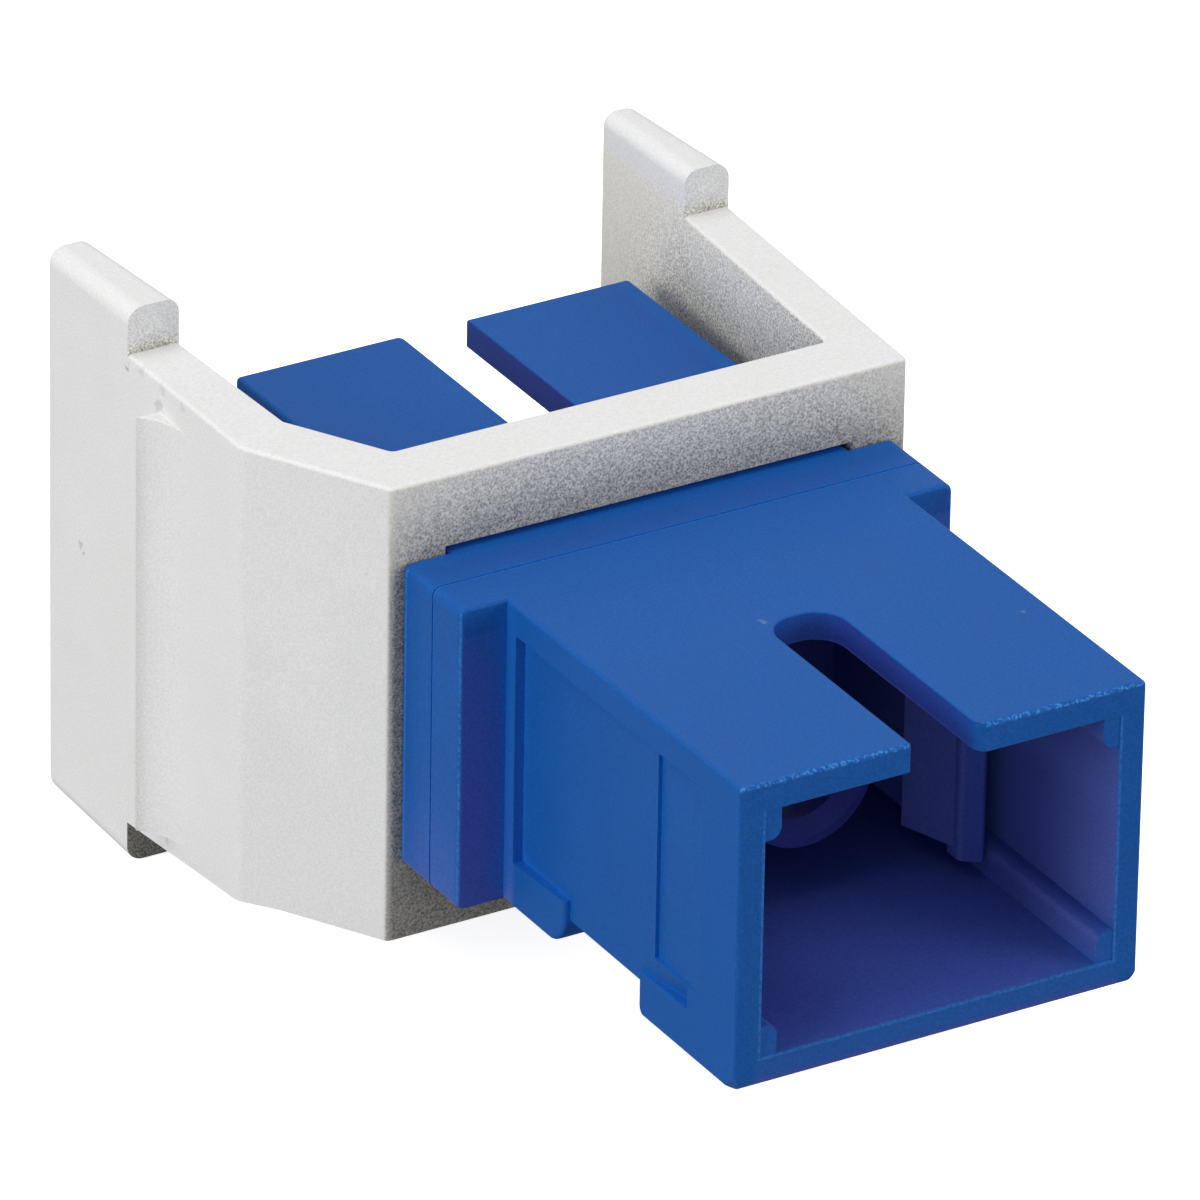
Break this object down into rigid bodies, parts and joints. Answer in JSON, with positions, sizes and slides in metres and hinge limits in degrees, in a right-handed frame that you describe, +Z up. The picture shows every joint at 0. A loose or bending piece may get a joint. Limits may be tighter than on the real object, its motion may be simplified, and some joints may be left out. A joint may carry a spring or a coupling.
{
  "type": "fibre adapter in a snap-in mounting frame",
  "caption": "Square simplex fibre adapter with a socket at each end, held by its flange in a white snap-in frame with two rear arms.",
  "frame": {"origin": "middle of the alignment sleeve on the fibre axis, where the two fibre ends meet", "axes": "-Y along the fibre axis out of the near socket, +Z up towards the keyways, +X to the right seen from the near socket"},
  "size_m": [0.0202, 0.0308, 0.0174],
  "materials": {
    "white_plastic": "matte moulded",
    "blue_plastic": "satin moulded",
    "inner_blue_plastic": "satin moulded",
    "zirconia": "ground ceramic"
  },
  "bodies": {
    "root": {"mounting_frame": "white_plastic", "front_housing": "blue_plastic", "rear_housing": "blue_plastic", "front_latch_carrier": "inner_blue_plastic", "rear_latch_carrier": "inner_blue_plastic", "alignment_sleeve": "zirconia"}
  },
  "joints": []
}
